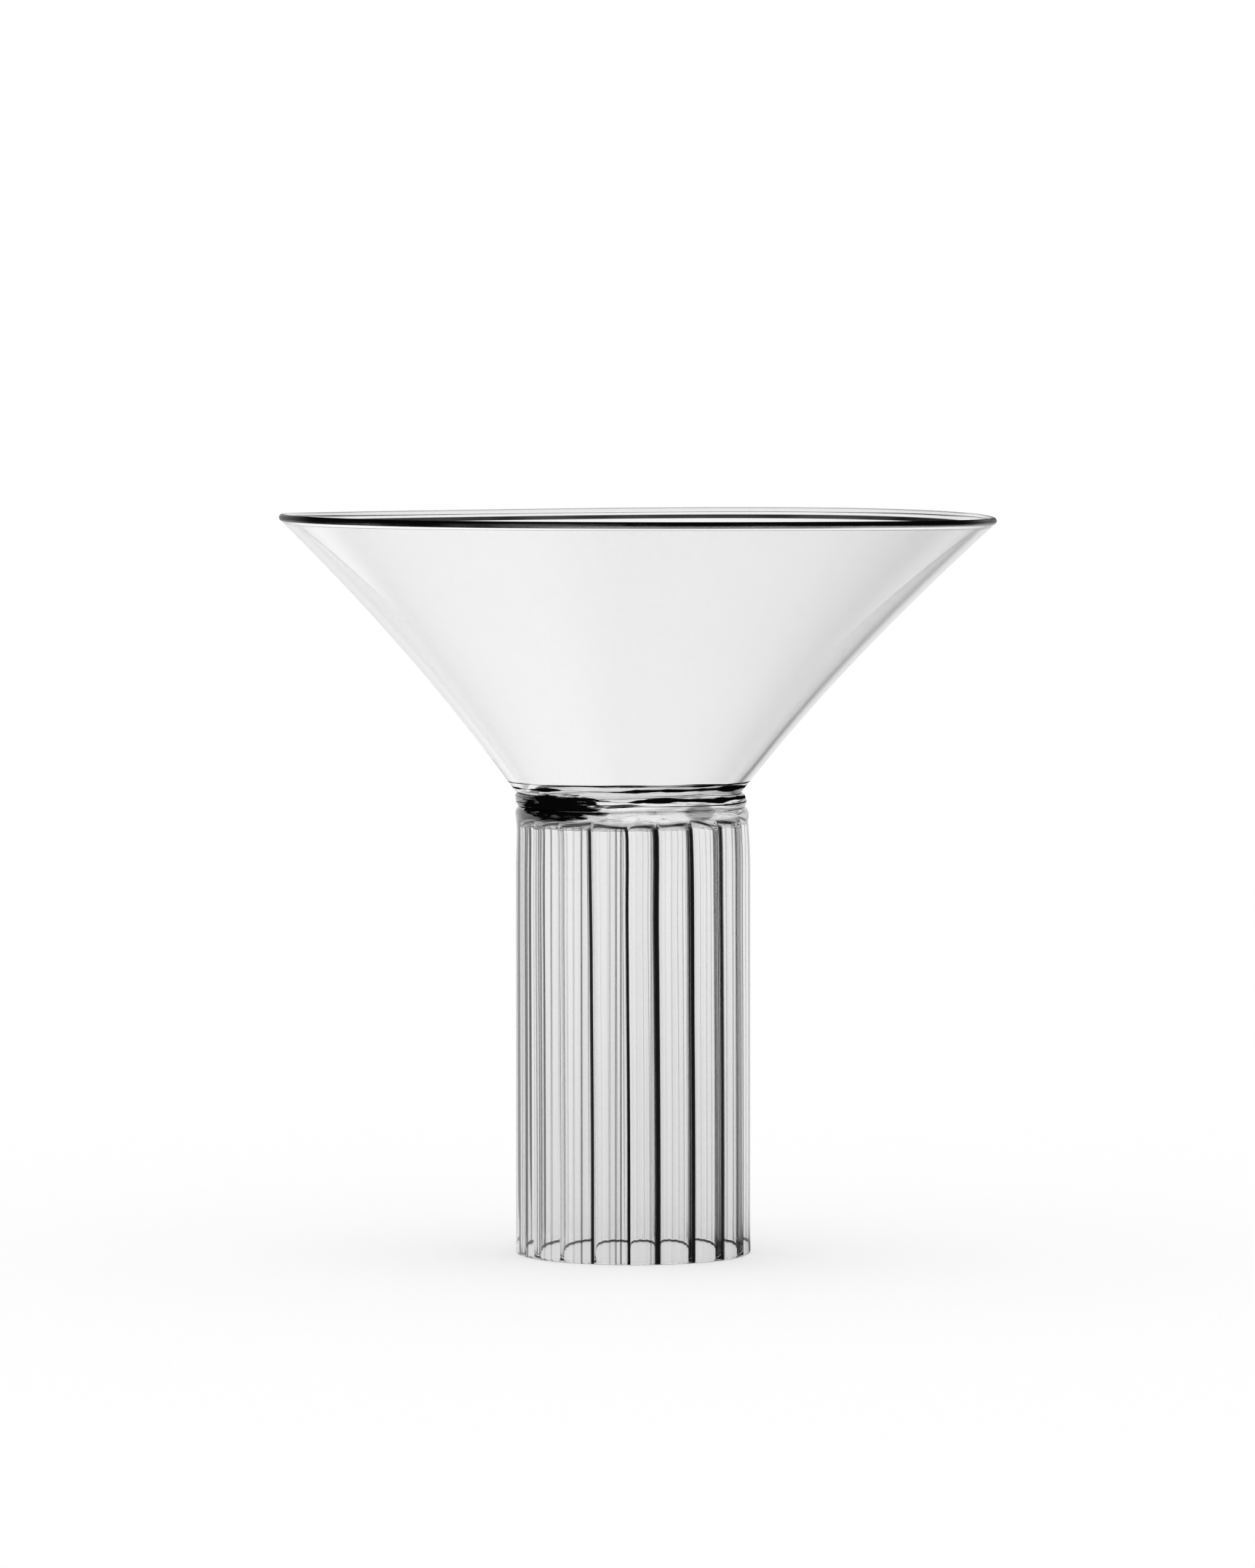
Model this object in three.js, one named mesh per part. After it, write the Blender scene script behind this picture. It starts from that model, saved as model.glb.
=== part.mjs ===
// Cocktail glass in clear borosilicate glass, made at the lamp: a wide cone-shaped bowl stands on a
// hollow stem cut from fluted tubing. The stem's top is melted shut into a shoulder, its foot is open,
// and a collar of melted glass joins the shoulder to the underside of the bowl.
// Lengths are in millimetres and +Z is up. The origin is the centre of the foot, on the table.
import * as THREE from "three";

// Stem: tubing that is round outside, with flutes inside that meet in sharp ridges
const stemRadius = 18;
const stemHeight = 68.6;
const fluteWall = 1.6; // glass left behind the middle of a flute
const ridgeHeight = 1.5; // how far a ridge stands out of the flutes beside it
const fluteCount = 18;
const roofThickness = 2.2; // the melted end over the hollow
const vaultHeight = 1.8; // the flutes die out over this height below the roof
const shoulderHeight = 1.4; // the stem's rounded upper edge
const footRound = 0.35; // the flame-polished edge that the glass stands on

// Collar: the melted joint between stem and bowl
const neckInset = 1; // the collar's ends lie this far inside the stem's outside
const collarHeight = 2.2;
const collarBulge = 0.3; // its middle stands out past its ends

// Bowl: a thin cone with a flat floor and a rounded bead for a rim
const bowlHeight = 42.6;
const rimRadius = 55; // outside, over the bead
const bowlWall = 1;
const floorThickness = 1.5;
const sideBow = 1.6; // how far the side runs inside a straight cone at mid height
const beadRadius = 0.55;
const floorFillet = 1.2; // inside, where the side meets the floor
const cornerRound = 0.5; // outside, under the same corner

// How finely round shapes are cut
const stepsPerFlute = 8;
const turnSteps = 96;
const sideSteps = 9;
const roundSteps = 4;
const beadSteps = 10;

const neckRadius = stemRadius - neckInset;

function clearGlass(name, color) {
  return new THREE.MeshStandardMaterial({ name, color, roughness: 0.05, metalness: 0, transparent: true, opacity: 0.4 });
}

// Points on an arc about (x, y), from one angle to another in radians, both ends included
function arc(x, y, radius, from, to, steps) {
  return Array.from({ length: steps + 1 }, (_, i) => {
    const angle = from + ((to - from) * i) / steps;
    return new THREE.Vector2(x + radius * Math.cos(angle), y + radius * Math.sin(angle));
  });
}

// Turns an outline of (radius, height) points, both ends on the axis, about Z
function turned(outline) {
  return new THREE.LatheGeometry(outline, turnSteps).rotateX(Math.PI / 2);
}

// Skins a stack of rings into one closed body. A ring has a height, and a radius for each step
// round it; a flat fan about the axis closes the first ring and the last.
function skinned(rings, count) {
  const positions = [];
  const faces = [];
  const turn = (2 * Math.PI) / count;
  for (const ring of rings) {
    for (let i = 0; i < count; i++) {
      const radius = ring.radius(i);
      positions.push(radius * Math.cos(i * turn), radius * Math.sin(i * turn), ring.height);
    }
  }
  const firstPole = positions.length / 3;
  const lastPole = firstPole + 1;
  positions.push(0, 0, rings[0].height);
  positions.push(0, 0, rings[rings.length - 1].height);
  for (let i = 0; i < count; i++) {
    const next = (i + 1) % count;
    const last = (rings.length - 1) * count;
    faces.push(firstPole, next, i, lastPole, last + i, last + next);
    for (let low = 0; low < last; low += count) {
      const high = low + count;
      faces.push(low + i, low + next, high + next, low + i, high + next, high + i);
    }
  }
  const geometry = new THREE.BufferGeometry();
  geometry.setAttribute("position", new THREE.Float32BufferAttribute(positions, 3));
  geometry.setIndex(faces);
  geometry.computeVertexNormals();
  return geometry;
}

// The fluted wall inside the stem, in section: each flute is an arc of a circle whose centre lies off
// the axis, and neighbouring arcs cross at the ridges.
const flutedRadius = stemRadius - fluteWall;
const ridgeRadius = flutedRadius - ridgeHeight;
const halfFlute = Math.PI / fluteCount;
const fluteCentre =
  (flutedRadius ** 2 - ridgeRadius ** 2) / (2 * (flutedRadius - ridgeRadius * Math.cos(halfFlute)));
const fluteArc = flutedRadius - fluteCentre;

function flutedWall(step) {
  const share = (step % stepsPerFlute) / stepsPerFlute;
  const angle = (2 * share - 1) * halfFlute;
  return fluteCentre * Math.cos(angle) + Math.sqrt(fluteArc ** 2 - (fluteCentre * Math.sin(angle)) ** 2);
}

function makeStem() {
  const roof = stemHeight - roofThickness;
  const roofRadius = ridgeRadius - vaultHeight;
  const rings = [];
  // The hollow, from the flat of its roof out and down in a quarter ellipse to the fluted wall
  for (let i = 0; i <= roundSteps; i++) {
    const angle = (Math.PI / 2) * (i / roundSteps);
    rings.push({
      height: roof - vaultHeight * (1 - Math.cos(angle)),
      radius: (step) => roofRadius + (flutedWall(step) - roofRadius) * Math.sin(angle),
    });
  }
  rings.push({ height: 0, radius: flutedWall });
  // The foot's face and its rounded outer edge
  for (const p of arc(stemRadius - footRound, footRound, footRound, -Math.PI / 2, 0, roundSteps)) {
    rings.push({ height: p.y, radius: () => p.x });
  }
  // The shoulder, from the round side in to the neck
  for (let i = 0; i <= roundSteps; i++) {
    const angle = (Math.PI / 2) * (i / roundSteps);
    const radius = neckRadius + neckInset * Math.cos(angle);
    rings.push({ height: stemHeight - shoulderHeight * (1 - Math.sin(angle)), radius: () => radius });
  }
  return new THREE.Mesh(skinned(rings, fluteCount * stepsPerFlute), clearGlass("stem_glass", 0xdfe3e3));
}

// A solid disc of melted glass, drawn from its own underside up, with a round bulging edge
function makeCollar() {
  const outline = [new THREE.Vector2(0, 0)];
  for (let i = 0; i <= 2 * roundSteps; i++) {
    const share = i / (2 * roundSteps);
    outline.push(new THREE.Vector2(neckRadius + collarBulge * Math.sin(Math.PI * share), collarHeight * share));
  }
  outline.push(new THREE.Vector2(0, collarHeight));
  return new THREE.Mesh(turned(outline), clearGlass("collar_glass", 0xd9dddd));
}

// The middle line of the bowl's wall, at heights above the bowl's underside. It starts over the
// rounded corner at the edge of the floor, ends at the centre of the rim bead, and bows inwards.
const beadCentre = new THREE.Vector2(rimRadius - beadRadius, bowlHeight - beadRadius);
const footLean = Math.atan((beadCentre.x - neckRadius - 4 * sideBow) / (beadCentre.y - cornerRound));
const sideStart = new THREE.Vector2(
  neckRadius + (cornerRound - bowlWall / 2) * Math.cos(footLean),
  cornerRound - (cornerRound - bowlWall / 2) * Math.sin(footLean),
);
const sideSpan = beadCentre.clone().sub(sideStart);

// The wall's lean from upright at a height, and the radius of its inner (-1) or outer (1) face
function leanAt(height) {
  const share = (height - sideStart.y) / sideSpan.y;
  return Math.atan((sideSpan.x - 4 * sideBow * (1 - 2 * share)) / sideSpan.y);
}

function wallFace(height, side) {
  const share = (height - sideStart.y) / sideSpan.y;
  const middle = sideStart.x + sideSpan.x * share - 4 * sideBow * share * (1 - share);
  return middle + (side * bowlWall) / 2 / Math.cos(leanAt(height));
}

// Points up or down one face of the wall, without the two ends
function wallPoints(from, to, side) {
  return Array.from({ length: sideSteps - 1 }, (_, i) => {
    const height = from + ((to - from) * (i + 1)) / sideSteps;
    return new THREE.Vector2(wallFace(height, side), height);
  });
}

function makeBowl() {
  const corner = arc(neckRadius, cornerRound, cornerRound, -Math.PI / 2, -footLean, roundSteps);
  // The bead is the part of a circle that stands clear of the wall's end
  const rimLean = leanAt(beadCentre.y);
  const covered = Math.asin(bowlWall / 2 / beadRadius);
  const back = 1.5 * Math.PI - rimLean;
  const bead = arc(beadCentre.x, beadCentre.y, beadRadius, back + covered, back + 2 * Math.PI - covered, beadSteps);
  const filletLean = leanAt(floorThickness);
  const filletTop = floorThickness + floorFillet * (1 - Math.sin(filletLean));
  const filletCentre = wallFace(filletTop, -1) - floorFillet * Math.cos(filletLean);
  const fillet = arc(filletCentre, floorThickness + floorFillet, floorFillet, -filletLean, -Math.PI / 2, roundSteps);
  const outline = [
    new THREE.Vector2(0, 0),
    ...corner,
    ...wallPoints(corner[roundSteps].y, bead[0].y, 1),
    ...bead,
    ...wallPoints(bead[beadSteps].y, filletTop, -1),
    ...fillet,
    new THREE.Vector2(0, floorThickness),
  ];
  return new THREE.Mesh(turned(outline), clearGlass("bowl_glass", 0xe9eceb));
}

const cocktailGlass = new THREE.Group();

const stem = makeStem();
stem.name = "fluted_stem";
cocktailGlass.add(stem);

const collar = makeCollar();
collar.name = "fused_collar";
collar.position.z = stemHeight;
cocktailGlass.add(collar);

const bowl = makeBowl();
bowl.name = "bowl";
bowl.position.z = stemHeight + collarHeight;
cocktailGlass.add(bowl);

export default cocktailGlass;
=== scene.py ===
# A lampworked cocktail glass on a pale table, seen level with its rim against a white backdrop.
# Everything is in metres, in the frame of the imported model: +Z up, the foot's centre at the origin.
import math

import bpy
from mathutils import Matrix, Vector, noise


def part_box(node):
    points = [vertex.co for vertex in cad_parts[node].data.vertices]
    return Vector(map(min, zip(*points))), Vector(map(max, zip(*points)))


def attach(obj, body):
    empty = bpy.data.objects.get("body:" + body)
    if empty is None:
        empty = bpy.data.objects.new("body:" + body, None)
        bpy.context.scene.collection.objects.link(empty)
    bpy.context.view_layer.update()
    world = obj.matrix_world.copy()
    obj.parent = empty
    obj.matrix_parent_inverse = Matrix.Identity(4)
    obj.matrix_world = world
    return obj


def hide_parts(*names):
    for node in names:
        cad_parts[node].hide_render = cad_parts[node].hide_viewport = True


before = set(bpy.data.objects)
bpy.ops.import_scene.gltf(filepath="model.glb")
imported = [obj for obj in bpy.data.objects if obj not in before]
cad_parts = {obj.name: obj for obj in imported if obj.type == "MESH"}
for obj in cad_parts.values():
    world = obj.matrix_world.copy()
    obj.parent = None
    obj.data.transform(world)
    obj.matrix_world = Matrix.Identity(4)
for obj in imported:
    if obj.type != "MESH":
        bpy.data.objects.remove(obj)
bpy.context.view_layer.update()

MM = 0.001

# Camera. It looks across the glass from a little above the rim, through a long lens. The width of the
# stem in the photograph gives the scale, and the ellipses of the rim and the foot give the height.
photo_wide_px, photo_high_px = 1725, 2156
pixel = 0.1111 * MM         # what one pixel spans at the stem's axis
camera_away_px = 11767
camera_up_px = 1280         # above the foot
aim_down_px = 632           # how far the lens axis falls over that distance
stem_axis_px = 870.3        # column of the stem's axis in the photograph
stem_shift_mm = -0.5        # the stem stands this far off the rim's centre line, as hand work leaves it
stem_shift = stem_shift_mm * MM
sensor_width = 36
view_depth = 100

bpy.ops.object.camera_add(
    location=(
        (photo_wide_px / 2 - stem_axis_px) * pixel + stem_shift,
        -camera_away_px * pixel,
        camera_up_px * pixel,
    ),
    rotation=(math.pi / 2 - math.atan(aim_down_px / camera_away_px), 0, 0),
)
camera = bpy.context.object
camera.name = "camera"
camera.data.sensor_width = sensor_width
camera.data.lens = sensor_width * camera_away_px / photo_high_px
camera.data.clip_end = view_depth
bpy.context.scene.camera = camera
bpy.context.scene.view_settings.view_transform = "Standard"

# Fluted stem. Borosilicate tubing, round outside and drawn with hollow flutes inside that meet in
# ridges; it is cut off, its foot flame-polished, and its top melted shut into a lumpy roof.
stem_low, stem_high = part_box("fluted_stem")
bowl_low, bowl_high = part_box("bowl")
stem_radius = stem_high.x
stem_top = stem_high.z
neck_radius = stem_radius - 1 * MM
foot_round = 0.4 * MM
# The stem's melted end narrows in steps: (height below the top, radius short of the tube's), in mm
shoulder_outline = [(9, 0), (6, 0.08), (3.5, 0.2), (2, 0.2), (1, 0.14), (0.55, 0.2), (0.25, 0.35)]
shoulder_outline += [(0.08, 0.5), (0, 0.75)]
shade_ring = 0.1 * MM       # a ring this near to a curve's start keeps the straight side's shading straight

# The fluted wall in section. Ridges stand at these turns, in degrees from the front to the right.
flute_wall = 1.6 * MM       # glass left behind the middle of a flute
flute_radius = stem_radius - flute_wall
ridge_height = 1.5 * MM     # the highest, by which the flutes' arcs are drawn
ridge_turns = [-63.6, -42.1, -21.9, -2.0, 15.0, 36.2, 56.1, 79.7]
ridge_turns += [99, 118, 138, 158, 178, 198, 218, 238, 257, 277]
ridge_heights_mm = [0.75, 0.65, 0.9, 0.9] + [1.5] * 14
points_per_flute = 24

# The hollow's closed end: the flutes die out in a vault under the roof
roof_height = stem_top - 1.7 * MM
vault_height = 1.3 * MM
wall_top = roof_height - vault_height
vault_narrowing = 0.11
roof_scales = (0.93, 0.92, 0.91, 0.9, 0.88, 0.85, 0.8, 0.72, 0.6, 0.4)  # each ring by the one before it
lump_size = 4.5 * MM
lump_depth = 0.55 * MM

# Painted shade strips on each ridge, standing for the dark lines the ridges refract, in mm: how far the black
# one reaches left, the grey one left, the black one right
ridge_shade_strips = [(0, 0, 0), (0, 0, 0), (0.28, 0, 0), (0.3, 0, 0), (0.8, 1.15, 0), (0.95, 1.3, 0)]
ridge_shade_strips += [(0.4, 0.72, 0.28), (0, 0.95, 0)] + [(0.35, 0, 0)] * 10
grey_strip = 0.68
strip_fade_mm = (0.12, 0.08)  # a strip fades from this far outside its edge to this far inside
strip_ends = (0.2 * MM, 0.9 * MM)  # and over this stretch above the straight wall
strip_from_hollow = 0.35    # how dark a strip is where light meets it from the hollow
# Thin dark lines of painted shade along the tube's inside, where the flutes show the ridges refracted: (x in
# mm, how dark)
painted_shade_lines = [(-15.6, 0.7), (-13.4, 0.2), (-12.4, 0.25), (-9.2, 0.2), (-8.05, 0.7)]
painted_shade_lines += [(-3.95, 0.3), (-3.05, 0.6), (-2.3, 0.7), (2.1, 0.4)]
line_fade_mm = (0.17, 0.08)
line_ends = (65.5 * MM, 66.3 * MM)
inner_face = (16.6 * MM, 16.7 * MM)  # what lies further in than this is the inside of the tube
# Painted shade along the melted edge round the inside of the foot, where it shows as a dark arc
foot_edge_ends = (0.25 * MM, 0.45 * MM)
foot_edge_shade = 0.75

# Rings of a flat disc, from the middle out, as shares of its radius
disc_shares = (0, 0.18, 0.35, 0.5, 0.62, 0.72, 0.8, 0.86, 0.92, 0.97)


class Value:
    """A number in a material: the output of a shader node, with arithmetic."""

    def __init__(self, finish, socket):
        self.finish = finish
        self.socket = socket

    def math(self, operation, first, second):
        return self.finish.node("ShaderNodeMath", {"operation": operation}, {0: first, 1: second})

    def __add__(self, other):
        return self.math("ADD", self, other)

    def __sub__(self, other):
        return self.math("SUBTRACT", self, other)

    def __rsub__(self, other):
        return self.math("SUBTRACT", other, self)

    def __mul__(self, other):
        return self.math("MULTIPLY", self, other)

    def __truediv__(self, other):
        return self.math("DIVIDE", self, other)

    def __rtruediv__(self, other):
        return self.math("DIVIDE", other, self)

    def __pow__(self, other):
        return self.math("POWER", self, other)

    def __rpow__(self, other):
        return self.math("POWER", other, self)

    __radd__ = __add__
    __rmul__ = __mul__

    def lowest(self, other):
        return self.math("MINIMUM", self, other)

    def highest(self, other):
        return self.math("MAXIMUM", self, other)

    def turn_from(self, ahead):
        """The turn in degrees from the direction ahead towards this one, both given as lengths."""
        return self.math("ARCTAN2", self, ahead) * math.degrees(1)

    def ramp(self, start, end, first=0.0, last=1.0):
        """Goes smoothly from first to last as this value goes from start to end."""
        return self.finish.node(
            "ShaderNodeMapRange",
            {"interpolation_type": "SMOOTHSTEP"},
            {"Value": self, "From Min": start, "From Max": end, "To Min": first, "To Max": last},
        )


class Finish:
    """A material under a plain name, whose nodes are added one by one."""

    def __init__(self, name):
        self.material = bpy.data.materials.new(name)
        self.material.use_nodes = True
        self.tree = self.material.node_tree
        self.shader = self.tree.nodes["Principled BSDF"]
        self.output = self.tree.nodes["Material Output"]

    def feed(self, node, inputs):
        for key, value in inputs.items():
            if isinstance(value, Value):
                self.tree.links.new(value.socket, node.inputs[key])
            else:
                node.inputs[key].default_value = value

    def node(self, kind, settings=None, inputs=None, output=0):
        node = self.tree.nodes.new(kind)
        for key, value in (settings or {}).items():
            setattr(node, key, value)
        self.feed(node, inputs or {})
        return Value(self, node.outputs[output])

    def place(self):
        """The three object coordinates, in metres."""
        where = self.node("ShaderNodeTexCoord", output="Object")
        split = self.node("ShaderNodeSeparateXYZ", inputs={0: where})
        outputs = split.socket.node.outputs
        return [Value(self, outputs[i]) for i in range(3)]

    def noise(self, x, y, z, scale, detail=2.0):
        where = self.node("ShaderNodeCombineXYZ", inputs={0: x, 1: y, 2: z})
        pattern = {"Vector": where, "Scale": scale, "Detail": detail}
        return self.node("ShaderNodeTexNoise", inputs=pattern, output="Fac")

    def grey(self, level):
        return self.node("ShaderNodeCombineColor", inputs={0: level, 1: level, 2: level})

    def backfacing(self):
        """One where light meets the surface from inside the glass, else nought."""
        return self.node("ShaderNodeNewGeometry", output="Backfacing")

    def painted(self, attribute):
        return self.node("ShaderNodeAttribute", {"attribute_name": attribute}, output="Fac")

    def light_path(self, output):
        return self.node("ShaderNodeLightPath", output=output)

    def paint_shade(self, share):
        """Paints shade: lays a dark skin over the surface where share is above nought."""
        skin = {"Base Color": (0.002, 0.002, 0.002, 1), "Roughness": 0.6, "Specular IOR Level": 0.0}
        dark = self.node("ShaderNodeBsdfPrincipled", inputs=skin)
        clear = Value(self, self.shader.outputs[0])
        surface = self.node("ShaderNodeMixShader", inputs={0: share, 1: clear, 2: dark})
        self.feed(self.output, {"Surface": surface})


def deselect():
    bpy.ops.object.select_all(action="DESELECT")


def draw_line(name, points):
    """A new piece in edit mode: one line through the points, each extruded from the last."""
    deselect()
    bpy.ops.mesh.primitive_plane_add(size=MM, location=points[0])
    piece = bpy.context.object
    piece.name = name
    piece.data.name = name
    bpy.ops.object.transform_apply(location=True)
    bpy.ops.object.mode_set(mode="EDIT")
    bpy.ops.mesh.select_all(action="SELECT")
    bpy.ops.mesh.merge(type="CENTER")
    for before, after in zip(points, points[1:]):
        bpy.ops.mesh.extrude_vertices_move(TRANSFORM_OT_translate={"value": Vector(after) - Vector(before)})
    return piece


def select_where(piece, test):
    """Selects the piece's vertices that pass the test, in edit mode."""
    bpy.ops.mesh.select_all(action="DESELECT")
    bpy.ops.object.mode_set(mode="OBJECT")
    for vertex in piece.data.vertices:
        vertex.select = test(vertex.co)
    bpy.ops.object.mode_set(mode="EDIT")


def pull_rings(steps):
    """Extrudes the selected ring through (scale, rise) steps, each measured from the ring before."""
    for scale, rise in steps:
        bpy.ops.mesh.extrude_edges_move(TRANSFORM_OT_translate={"value": (0, 0, rise)})
        bpy.ops.transform.resize(value=(scale, scale, 1))


def ring_steps(outline):
    """The steps for pull_rings that follow an outline of (radius, height) points."""
    return [(r1 / r0, z1 - z0) for (r0, z0), (r1, z1) in zip(outline, outline[1:])]


def finish_mesh(piece, smooth_angle):
    """Merges doubles, turns the faces out, smooths the shading and leaves edit mode."""
    bpy.ops.mesh.select_all(action="SELECT")
    bpy.ops.mesh.remove_doubles(threshold=MM * MM)
    bpy.ops.mesh.normals_make_consistent(inside=False)
    bpy.ops.object.mode_set(mode="OBJECT")
    bpy.ops.object.shade_smooth_by_angle(angle=math.radians(smooth_angle))


def place(piece, finish, node):
    piece.data.materials.append(finish.material)
    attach(piece, "root")
    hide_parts(node)


def smooth(value, start, end):
    share = min(max((value - start) / (end - start), 0), 1)
    return share * share * (3 - 2 * share)


# How the glass was left by hand. The first are pairs in mm: a height, and how far the middle of the glass
# stands off the rim's centre line there.
lean_mm = [(0, stem_shift_mm), (64, stem_shift_mm), (69.5, -0.78), (71.2, -1.15), (72, -1.16), (113.4, 0.24)]
rim_shift = 0.24 * MM
rim_fall = 0.6 * MM         # the rim's right side lies this much lower than its left
front_lift = 0.7            # the front of the rim loses this share of its fall
back_twist = 0.8 * MM       # the back of the rim is twisted by this, up on the right
ridge_drift = math.radians(-1.3)
ridge_wobble = math.radians(0.7)
wobble_length = 14 * MM
weld_height = 70.2 * MM
weld_reach = 3 * MM
ripple_depth = 0.16 * MM
ripple_height = 1.6 * MM
sag_depth = 0.3 * MM
sag_width = 9 * MM
sag_height = 4 * MM


def lean_at(height):
    for (low, start), (high, end) in zip(lean_mm, lean_mm[1:]):
        if height <= high * MM or high == lean_mm[-1][0]:
            return (start + (end - start) * (height / MM - low) / (high - low)) * MM


def hand_made(piece):
    """Moves the piece's points as hand work leaves them. All pieces share it, so that joints stay closed."""
    for vertex in piece.data.vertices:
        x, y, z = vertex.co
        radius = math.hypot(x, y)
        turn = math.atan2(y, x)
        near_weld = math.exp(-((z - weld_height) / weld_reach) ** 2)
        # Ripples run round the weld, and the flutes drift a little on their way up
        around = Vector((math.cos(turn) * 2.2, math.sin(turn) * 2.2, z / ripple_height))
        swell = noise.noise(around) * ripple_depth * near_weld * smooth(radius, 10 * MM, 16 * MM)
        level = Vector((x, y, 0)) / sag_width + Vector((7.3, 1.1, z / sag_height))
        sag = noise.noise(level) * sag_depth * near_weld
        in_stem = 1 - smooth(z, stem_top, bowl_low.z)
        drift = ridge_drift * smooth(z, 10 * MM, stem_top) * in_stem
        along = Vector((math.cos(turn) * 3, math.sin(turn) * 3, z / wobble_length))
        wobble = noise.noise(along) * ridge_wobble * smooth(z, 30 * MM, 66 * MM) * in_stem
        turn += drift + wobble
        radius += swell
        # The rim falls to the right, less so at the front, and its back rises to the right
        across, behind = x / bowl_high.x, y / bowl_high.x
        fall = rim_fall * (1 + across) / 2 * (1 - front_lift * min(behind, 0) ** 2)
        fall = (fall - back_twist * across * max(behind, 0)) * smooth(z, bowl_low.z, bowl_high.z)
        vertex.co = (radius * math.cos(turn) + lean_at(z), radius * math.sin(turn), z + sag - fall)


def flute_points():
    """The fluted section: between two ridges the wall is an arc about a centre off the axis."""
    ridge_radius = flute_radius - ridge_height
    points = []
    turns = [math.radians(turn) for turn in ridge_turns]
    heights = [height * MM / ridge_height for height in ridge_heights_mm]
    ends = zip(turns, turns[1:] + [turns[0] + 2 * math.pi], heights, heights[1:] + heights[:1])
    for start, end, high, next_high in ends:
        half = (end - start) / 2
        centre = (flute_radius**2 - ridge_radius**2) / (2 * (flute_radius - ridge_radius * math.cos(half)))
        arc = flute_radius - centre
        for i in range(points_per_flute):
            share = (1 - math.cos(math.pi * i / points_per_flute)) / 2
            off = (2 * share - 1) * half
            radius = centre * math.cos(off) + math.sqrt(arc**2 - (centre * math.sin(off)) ** 2)
            radius = flute_radius - (flute_radius - radius) * (high + (next_high - high) * share)
            turn = (start + end) / 2 + off
            points.append((radius * math.sin(turn), -radius * math.cos(turn), 0))
    return points


def make_stem():
    section = flute_points()
    stem = draw_line("stem_glass", section)
    # Close the section by joining the line's two ends
    ends = [Vector(section[0]), Vector(section[-1])]
    select_where(stem, lambda co: min((co - end).length for end in ends) < MM * MM)
    bpy.ops.mesh.edge_face_add()
    # The hollow: up the wall, then in over the vault to the middle of the roof
    bpy.ops.mesh.select_all(action="SELECT")
    wall_steps = 16
    first_rises = [shade_ring, 0.3 * MM]
    last_rises = [1 * MM, shade_ring]
    long_rise = (wall_top - sum(first_rises + last_rises)) / wall_steps
    steps = [(1, rise) for rise in first_rises + [long_rise] * wall_steps + last_rises]
    vault_steps = 8
    vault = []
    for i in range(vault_steps + 1):
        turn = math.pi / 2 * i / vault_steps
        vault.append((1 - vault_narrowing * (1 - math.cos(turn)), wall_top + vault_height * math.sin(turn)))
    steps += ring_steps(vault)
    steps += [(scale, 0) for scale in roof_scales]
    pull_rings(steps)
    bpy.ops.mesh.merge(type="CENTER")
    # The foot's face out to the round side, up to the shoulder and in over the top
    select_where(stem, lambda co: abs(co.z) < MM * MM)
    bpy.ops.mesh.extrude_edges_move(TRANSFORM_OT_translate={"value": (0, 0, 0)})
    bpy.ops.transform.tosphere(value=1)
    bpy.ops.object.mode_set(mode="OBJECT")
    now = max(vertex.co.length for vertex in stem.data.vertices if vertex.select)
    bpy.ops.object.mode_set(mode="EDIT")
    outline = [(now, 0)]
    foot_steps = 6
    for i in range(foot_steps + 1):
        turn = math.pi / 2 * i / foot_steps
        radius = stem_radius - foot_round + foot_round * math.sin(turn)
        outline.append((radius, foot_round * (1 - math.cos(turn))))
    outline.append((stem_radius, foot_round + shade_ring))
    shoulder = [(stem_radius - short * MM, stem_top - below * MM) for below, short in shoulder_outline]
    side_height = shoulder[0][1] - foot_round
    side_steps = 16
    outline += [(stem_radius, foot_round + side_height * i / side_steps) for i in range(1, side_steps)]
    outline += shoulder
    outline += [(shoulder[-1][0] * share, stem_top) for share in reversed(disc_shares[1:])]
    pull_rings(ring_steps(outline))
    bpy.ops.mesh.merge(type="CENTER")
    finish_mesh(stem, smooth_angle=35)
    # The roof hangs in lumps where the tube's end was gathered in
    for vertex in stem.data.vertices:
        x, y, z = vertex.co
        if wall_top - MM < z < roof_height + 0.1 * MM and math.hypot(x, y) < flute_radius + 0.1 * MM:
            lump = noise.noise(Vector((x, y, 0)) / lump_size + Vector((2.7, 5.1, 0)))
            vertex.co.z += lump * lump_depth * smooth(z, wall_top - MM, roof_height)
    return stem


def paint_ridges(stem):
    """Paints shade on the flanks of each ridge, where they let no light through to the front."""
    shade = stem.data.attributes.new("ridge_shade", "FLOAT", "POINT")
    turns = [math.radians(turn) for turn in ridge_turns]
    outside, inside = strip_fade_mm
    for vertex in stem.data.vertices:
        x, y, z = vertex.co
        radius = math.hypot(x, y)
        if not 10 * MM < radius < flute_radius + 0.01 * MM or z >= roof_height:
            continue
        turn = math.atan2(x, -y)
        gaps = [((ridge - turn + 1e-6) % (2 * math.pi), i) for i, ridge in enumerate(turns)]
        left, ridge = min(gaps)
        right, ridge_before = max(gaps)
        right = 2 * math.pi - right
        value = 0
        for gap, width, dark in (
            (left, ridge_shade_strips[ridge][0], 1),
            (left, ridge_shade_strips[ridge][1], grey_strip),
            (right, ridge_shade_strips[ridge_before][2], 1),
        ):
            if width:
                value = max(value, dark * smooth(gap * radius, (width + outside) * MM, (width - inside) * MM))
        shade.data[vertex.index].value = value * smooth(z, wall_top + strip_ends[1], wall_top + strip_ends[0])


# Glass in general
draw_stretch = 0.002        # patterns are stretched along the tube, to this share of their pace
ripple_bump = 0.02 * MM
light_let_through = 0.85    # of the light on its way to the table, as clear glass throws next to no shadow


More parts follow.
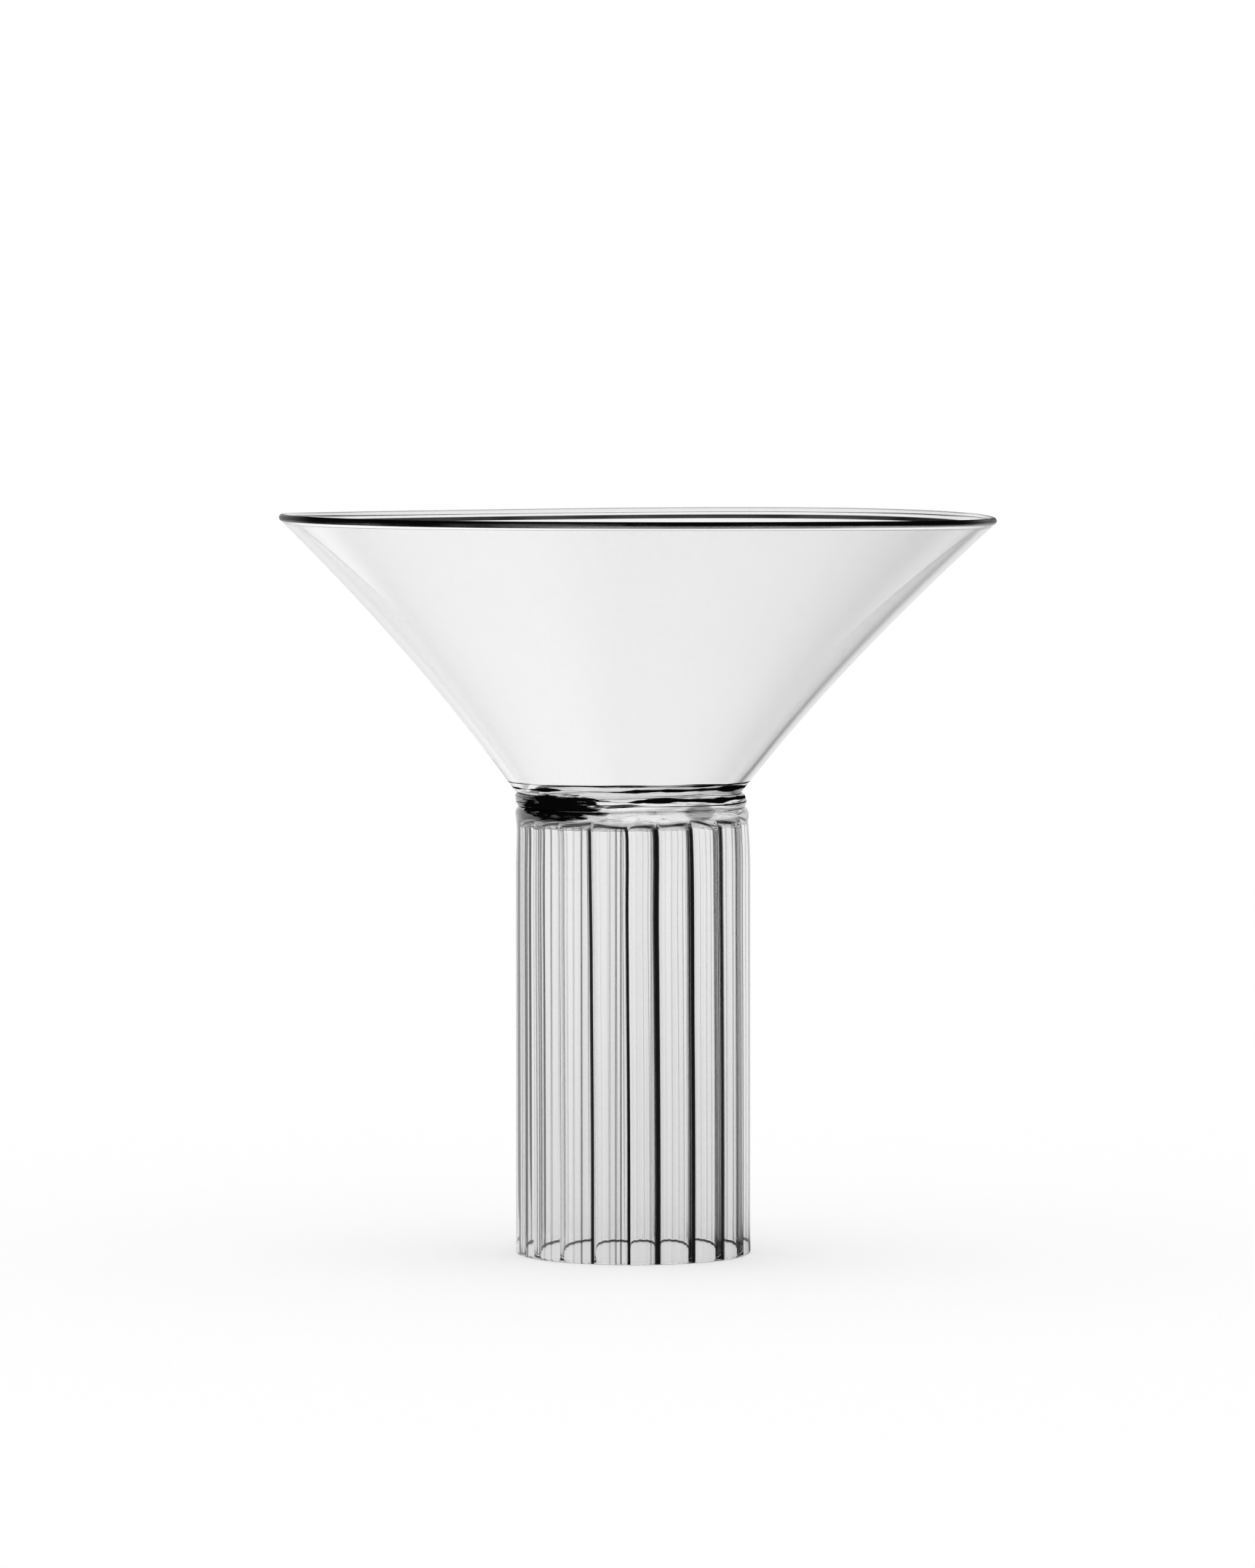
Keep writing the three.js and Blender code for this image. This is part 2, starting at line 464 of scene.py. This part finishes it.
def clear_glass(name, clarity, line_shade=0.05, foot_shade=0, haze=0):
    """Clear glass with faint draw lines along it. Tubing and weld are rippled too, the weld a little hazy."""
    glass = Finish(name)
    x, y, z = glass.place()
    lines = glass.noise(x, y, z * draw_stretch, 1600, 2)
    broad = glass.noise(x, y, z, 60, 2)
    level = clarity + (lines - 0.5) * line_shade + (broad - 0.5) * 0.02
    # Painted shade: the glass darkens towards the foot
    if foot_shade:
        level = level - z.ramp(64 * MM, 0) * foot_shade
    glass.feed(glass.shader, {
        "Base Color": glass.grey(level),
        "Transmission Weight": 1,
        "IOR": 1.473,
        "Roughness": 0,
        "Alpha": 1 - glass.light_path("Is Diffuse Ray") * light_let_through,
    })
    if haze:
        ripple = glass.noise(x, y, z * draw_stretch, 350, 1)
        bump_inputs = {"Strength": 1.0, "Distance": ripple_bump, "Height": ripple}
        bump = glass.node("ShaderNodeBump", inputs=bump_inputs)
        weld = z.ramp(stem_top - 4.5 * MM, stem_top - 2 * MM) * z.ramp(bowl_low.z, bowl_low.z - 0.6 * MM)
        clouds = glass.noise(x, y, z, 260, 3).ramp(0.45, 0.75)
        glass.feed(glass.shader, {"Roughness": weld * clouds * haze, "Normal": bump})
    return glass


# Painted shade round the weld, for the dark that the melted glass refracts there. Heights and thicknesses are
# in mm, turns in degrees from the front to the right. Streaks are (height, swing, thickness, seed).
weld_shade_streaks = [(71.75, 0.9, 0.42, 0.4), (70.25, 1.6, 0.45, 5.1)]
weld_shade_streaks += [(72.5, 0.4, 0.14, 8.3), (69.4, 0.7, 0.14, 2.2)]
streak_thinnest = 0.03
blot_turn, blot_half_turn, blot_height, blot_half_height = -40, 33, 69.1, 2.1
patch_turn, patch_half_turn, patch_height, patch_half_height = 37, 10, 68.4, 1.7
weld_middle = -1.014 * MM   # the painted shade runs round a line that stands this far off the rim's centre line
flare_start = 71.3 * MM
bowl_flare = 0.75           # how fast the bowl's foot widens above that height
weld_shade_face = (16.5 * MM, 16.7 * MM)  # they lie further out than this


def weld_painted_shade(glass):
    """Painted shade round the weld: the dark streaks, the blot and the greyish haze that run round it."""
    x, y, z = glass.place()
    x = x - weld_middle
    turn = x.turn_from(0 - y)
    radius = (x * x + y * y) ** 0.5
    ax, ay = x / radius, y / radius
    height = z * (1 / MM)
    ragged = glass.noise(ax, ay, height * 0.35, 6, 4) - 0.5

    def streak(middle, swing, thick, seed):
        bend = (glass.noise(ax, ay, seed, 1.3, 2) - 0.5) * swing
        half = glass.noise(ax, ay, seed + 3.7, 2.3, 3).ramp(0.42, 0.68, streak_thinnest, thick)
        half = half + turn.ramp(5, 40, 0, 0.5) * thick
        off = (height - middle - bend) / half
        return (1 - off * off).ramp(0, 0.5)

    def spot(middle_turn, half_turn, middle, half):
        """Above nought inside an oval on the side of the glass, and highest in its middle."""
        across = (turn - middle_turn) / half_turn
        up = (height - middle) / half
        return 1 - across * across - up * up

    streaks = sum(streak(*values) for values in weld_shade_streaks)
    blot = (spot(blot_turn, blot_half_turn, blot_height, blot_half_height) + ragged * 2.4).ramp(0.05, 0.45)
    # The greyish haze is painted shade too, in clouds and a patch
    clouds = glass.noise(ax, ay, height * 0.25, 3.1, 4).ramp(0.42, 0.7)
    haze = clouds * height.ramp(66, 67.2) * height.ramp(69.6, 69) * 0.35
    patch = spot(patch_turn, patch_half_turn, patch_height, patch_half_height) + ragged
    haze = haze + patch.ramp(0, 0.6) * 0.5
    # The painted shade lies on the outside alone: of the tube, of the collar, and of the bowl as it flares
    flare = (z - flare_start).highest(0) * bowl_flare
    outside = (1 - glass.backfacing()) * (radius - flare).ramp(*weld_shade_face)
    return streaks.highest(blot).highest(haze).lowest(1) * outside


stem = make_stem()
paint_ridges(stem)
hand_made(stem)

stem_finish = clear_glass("stem_glass", clarity=0.945, line_shade=0.22, foot_shade=0.06, haze=0.25)
x, y, z = stem_finish.place()
from_inside = stem_finish.backfacing()
# Painted shade strips on the ridges, lighter where light meets them from the hollow
strips = stem_finish.painted("ridge_shade") * (strip_from_hollow + (1 - strip_from_hollow) * from_inside)
inner = ((x - stem_shift) ** 2 + y * y).ramp(inner_face[1] ** 2, inner_face[0] ** 2)
# Painted shade: thin dark lines on the inside of the tube's front half
painted_line_shade = 0
for line_x, line_dark in painted_shade_lines:
    off = (x * (1 / MM) - line_x) ** 2
    painted_line_shade = painted_line_shade + off.ramp(line_fade_mm[0] ** 2, line_fade_mm[1] ** 2) * line_dark
painted_line_shade = painted_line_shade * inner * y.ramp(0, -MM) * from_inside * z.ramp(line_ends[1], line_ends[0])
# Painted shade on the melted edge round the inside of the foot
foot_arc_shade = z.ramp(foot_edge_ends[1], foot_edge_ends[0]) * inner * (1 - from_inside) * foot_edge_shade
stem_finish.paint_shade(strips.highest(painted_line_shade).highest(foot_arc_shade).highest(weld_painted_shade(stem_finish)))
place(stem, stem_finish, "fluted_stem")

# Collar. A gather of melted glass that welds the stem's closed top to the bowl's floor, marvered to a
# thin wavy disc in the flame.
collar_low, collar_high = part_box("fused_collar")
weld_gap = 0.04 * MM
collar_end_radius = 17.2 * MM
collar_bulge = 0.4 * MM


def make_collar():
    low = collar_low.z + weld_gap
    high = collar_high.z - weld_gap
    outline = [(collar_end_radius * share, low) for share in disc_shares]
    edge_steps = 16
    for i in range(edge_steps + 1):
        turn = math.pi * i / edge_steps
        side = (low + high) / 2 - (high - low) / 2 * math.cos(turn)
        outline.append((collar_end_radius + collar_bulge * math.sin(turn) ** 0.7, side))
    outline += [(collar_end_radius * share, high) for share in reversed(disc_shares)]
    collar = draw_line("collar_glass", [(r, 0, z) for r, z in outline])
    bpy.ops.mesh.select_all(action="SELECT")
    bpy.ops.mesh.spin(steps=240, angle=2 * math.pi, center=(0, 0, 0), axis=(0, 0, 1), use_auto_merge=True)
    finish_mesh(collar, smooth_angle=40)
    return collar


collar = make_collar()
hand_made(collar)
collar_finish = clear_glass("collar_glass", clarity=0.95, haze=0.2)
collar_finish.paint_shade(weld_painted_shade(collar_finish))
place(collar, collar_finish, "fused_collar")

# Bowl. A thin cone flared at the lamp from wide tubing, with a flat floor; the rim is fire-polished
# into a round bead.
bowl_wall = 1 * MM
floor_thickness = 0.3 * MM
side_bow = 1.6 * MM         # how far the side runs inside a straight cone at mid height
bead_radius = 0.55 * MM
floor_fillet = 0.6 * MM
corner_round = 0.5 * MM
floor_shares = (0.9, 0.8, 0.7, 0.6, 0.5, 0.35, 0.18, 0)
# Inside, a thin dark line of painted shade runs round below the rim
line_height = bowl_high.z - 1.4 * MM
line_half = 0.25 * MM
line_edge = 0.11 * MM
# Both painted dark lines of the rim grow paler between these distances from the middle plane
rim_ends = (48 * MM, 54.6 * MM)
rim_end_shade = 0.55

# The wall's middle line, from over the rounded corner up to the centre of the bead
bead = Vector((bowl_high.x - rim_shift - bead_radius, bowl_high.z - bead_radius))
foot_lean = math.atan((bead.x - neck_radius - 4 * side_bow) / (bead.y - bowl_low.z - corner_round))
corner_offset = corner_round - bowl_wall / 2
wall_start = Vector((
    neck_radius + corner_offset * math.cos(foot_lean),
    bowl_low.z + corner_round - corner_offset * math.sin(foot_lean),
))
wall_span = bead - wall_start


def wall_lean(z):
    """The wall's lean from upright at a height."""
    share = (z - wall_start.y) / wall_span.y
    return math.atan((wall_span.x - 4 * side_bow * (1 - 2 * share)) / wall_span.y)


def wall_face(z, side):
    """The radius at a height of the wall's inner face (-1), middle line (0) or outer face (1)."""
    share = (z - wall_start.y) / wall_span.y
    middle = wall_start.x + wall_span.x * share - 4 * side_bow * share * (1 - share)
    return middle + side * bowl_wall / 2 / math.cos(wall_lean(z))


def wall_points(start, end, side):
    steps = 24
    shares = [0.003] + [i / steps for i in range(1, steps)] + [0.997]
    heights = [start + (end - start) * share for share in shares]
    return [(wall_face(z, side), z) for z in heights]


def arc_points(x, z, radius, start, end, steps):
    turns = [start + (end - start) * i / steps for i in range(steps + 1)]
    return [(x + radius * math.cos(turn), z + radius * math.sin(turn)) for turn in turns]


def make_bowl():
    base = bowl_low.z
    floor = base + floor_thickness
    corner = arc_points(neck_radius, base + corner_round, corner_round, -math.pi / 2, -foot_lean, 6)
    covered = math.asin(bowl_wall / 2 / bead_radius)
    back = 1.5 * math.pi - wall_lean(bead.y)
    rim = arc_points(bead.x, bead.y, bead_radius, back + covered, back + 2 * math.pi - covered, 20)
    offsets = (line_half + line_edge, line_half, 0, -line_half, -line_half - line_edge)
    line = [(wall_face(line_height + off, -1), line_height + off) for off in offsets]
    fillet_lean = wall_lean(floor)
    fillet_top = floor + floor_fillet * (1 - math.sin(fillet_lean))
    fillet_x = wall_face(fillet_top, -1) - floor_fillet * math.cos(fillet_lean)
    fillet = arc_points(fillet_x, floor + floor_fillet, floor_fillet, -fillet_lean, -math.pi / 2, 8)
    outline = [(neck_radius * share, base) for share in disc_shares] + corner
    outline += wall_points(corner[-1][1], rim[0][1], 1) + rim + line
    outline += wall_points(line[-1][1], fillet_top, -1) + fillet
    outline += [(neck_radius * share, floor) for share in floor_shares]
    bowl = draw_line("bowl_glass", [(r, 0, z) for r, z in outline])
    bpy.ops.mesh.select_all(action="SELECT")
    bpy.ops.mesh.spin(steps=360, angle=2 * math.pi, center=(0, 0, 0), axis=(0, 0, 1), use_auto_merge=True)
    finish_mesh(bowl, smooth_angle=50)
    return bowl


def paint_bowl(bowl):
    """Marks the outer face, and paints shade where the rim turns light away: its outer half and a line below
    it inside.
    """
    for name in ("rim_shade", "outer_face"):
        bowl.data.attributes.new(name, "FLOAT", "POINT")
    rim_shade = bowl.data.attributes["rim_shade"]
    outer_face = bowl.data.attributes["outer_face"]
    for vertex in bowl.data.vertices:
        x, y, z = vertex.co
        radius = math.hypot(x, y)
        out = (radius - bead.x) / bead_radius
        value = 0
        if z > bead.y - 0.75 * bead_radius and out > -1:
            # The painted shade on the bead's lower half is paler from the middle on, and paler again at the
            # right
            pale = 0.25 * smooth(x, -22 * MM, -5 * MM) + 0.25 * smooth(x, 25 * MM, 35 * MM)
            outer_half = smooth(out, -0.15, 0.15) * (1 - pale * smooth(z, bead.y, bead.y - 0.4 * bead_radius))
            value = max(outer_half, 0.45 if -0.6 < out < -0.1 else 0.14)
        elif radius < wall_face(z, 0) and abs(z - line_height) < line_half + 0.01 * MM:
            value = 1
        rim_shade.data[vertex.index].value = value
        outer_face.data[vertex.index].value = radius > wall_face(z, 0)


bowl = make_bowl()
paint_bowl(bowl)
hand_made(bowl)

bowl_finish = clear_glass("bowl_glass", clarity=0.996)
x, y, z = bowl_finish.place()
rim_painted_shade = bowl_finish.painted("rim_shade") * (1 - bowl_finish.backfacing())
rim_painted_shade = rim_painted_shade * bowl_finish.noise(x, y, 0, 40, 2).ramp(0.38, 0.58, 0.94, 1.0)
rim_painted_shade = rim_painted_shade * (x * x).ramp(rim_ends[0] ** 2, rim_ends[1] ** 2, 1.0, rim_end_shade)
# Seen edge on, more glass lies behind the surface, and it looks greyer, so grey shade is painted there. The
# outer face greys the last millimetre, and the inner face a soft line beside it, which is dark on the right
# only.
edge_on = bowl_finish.node("ShaderNodeLayerWeight", inputs={"Blend": 0.5}, output="Facing")
outer = bowl_finish.painted("outer_face")
right = x.ramp(0, 25 * MM)
edge_painted_shade = edge_on.ramp(0.6, 0.9) * 0.07 + outer * edge_on.ramp(0.72, 0.83) * 0.06
edge_painted_shade = edge_painted_shade + outer * edge_on.ramp(0.78, 0.845) * (0.02 + 0.06 * right)
edge_painted_shade = edge_painted_shade + (1 - outer) * edge_on.ramp(0.8, 0.92) * right * 0.26
bowl_finish.paint_shade(rim_painted_shade.highest(weld_painted_shade(bowl_finish)) + edge_painted_shade)
place(bowl, bowl_finish, "bowl")

# Table and backdrop. A white table top that runs into a white surround. A dark surround, which only
# the glass shows, stands for the dark parts of the studio; it is open where the backdrop lies.
table_size = 40
surround_radius = 0.95
surround_height = 1.25
surround_lift = 0.2 * MM
floor_opening = (22 * MM, 30 * MM)  # the surround's floor is open this near to the glass
far_floor = (0.5, 0.6)      # and in one direction as far as this
dark_ceiling = (0.35, 0.7)  # it darkens upwards between these heights


def stage_finish(name, level):
    finish = Finish(name)
    color = (level, level, level, 1)
    finish.feed(finish.shader, {"Base Color": color, "Roughness": 1, "Specular IOR Level": 0})
    return finish


deselect()
bpy.ops.mesh.primitive_plane_add(size=table_size, location=(0, 0, 0))
table = bpy.context.object
table.name = "table"
table.data.materials.append(stage_finish("table_white", 1).material)

deselect()
bpy.ops.mesh.primitive_cylinder_add(vertices=96, radius=surround_radius, depth=surround_height)
surround = bpy.context.object
surround.name = "dark_surround"
bpy.ops.object.mode_set(mode="EDIT")
bpy.ops.mesh.select_all(action="SELECT")
bpy.ops.transform.translate(value=(0, 0, surround_height / 2 + surround_lift))
bpy.ops.object.mode_set(mode="OBJECT")

# Bearings are in degrees from straight behind the glass towards its right, and lengths in metres
dark = stage_finish("surround_black", 0.001)
x, y, z = dark.place()
bearing = x.turn_from(y)
reach = (x * x + y * y) ** 0.5
above = z.ramp(*dark_ceiling)


def sector(start, end, soft):
    """One between two bearings, else nought, with soft ends."""
    return bearing.ramp(start, start + soft) * bearing.ramp(end, end - soft)


# Light that only passes through the glass sees the dark at its right, behind the camera and overhead
right = sector(30, 122, 10)
behind = bearing.ramp(148, 158) + bearing.ramp(-118, -128)
far = sector(112, 158, 8) * reach.ramp(*far_floor)
sides = (right + behind + far) * reach.ramp(*floor_opening)
straight = above.highest(sides).lowest(1)

# Light that was reflected inside the glass sees it nearly everywhere but at the left, and light that was
# reflected off the outside sees it at the right and towards the camera
inside = 1 - bearing.ramp(-175, -115) * bearing.ramp(28, 12) * 0.95
outside = bearing.ramp(25, 75, 0, 0.8) + bearing.ramp(-60, -180, 0, 0.8)
bounced = dark.light_path("Glossy Depth").ramp(0, 1)
entered = dark.light_path("Transmission Depth").ramp(0, 1)
glint = above.highest(outside + (inside - outside) * entered)
cover = straight + (glint - straight) * bounced
dark.feed(dark.shader, {"Alpha": cover * dark.light_path("Diffuse Depth").ramp(1, 0)})
surround.data.materials.append(dark.material)
surround.visible_camera = False
surround.visible_diffuse = False
surround.visible_shadow = False

# Soft white light comes from all sides
world = bpy.data.worlds.new("studio")
bpy.context.scene.world = world
world.use_nodes = True
world.node_tree.nodes["Background"].inputs["Color"].default_value = (1, 1, 1, 1)
world.node_tree.nodes["Background"].inputs["Strength"].default_value = 1

# Light crosses the flutes many times on its way through the stem
bpy.context.scene.cycles.max_bounces = 32
bpy.context.scene.cycles.transmission_bounces = 32
bpy.context.scene.cycles.glossy_bounces = 16
bpy.context.scene.cycles.transparent_max_bounces = 16
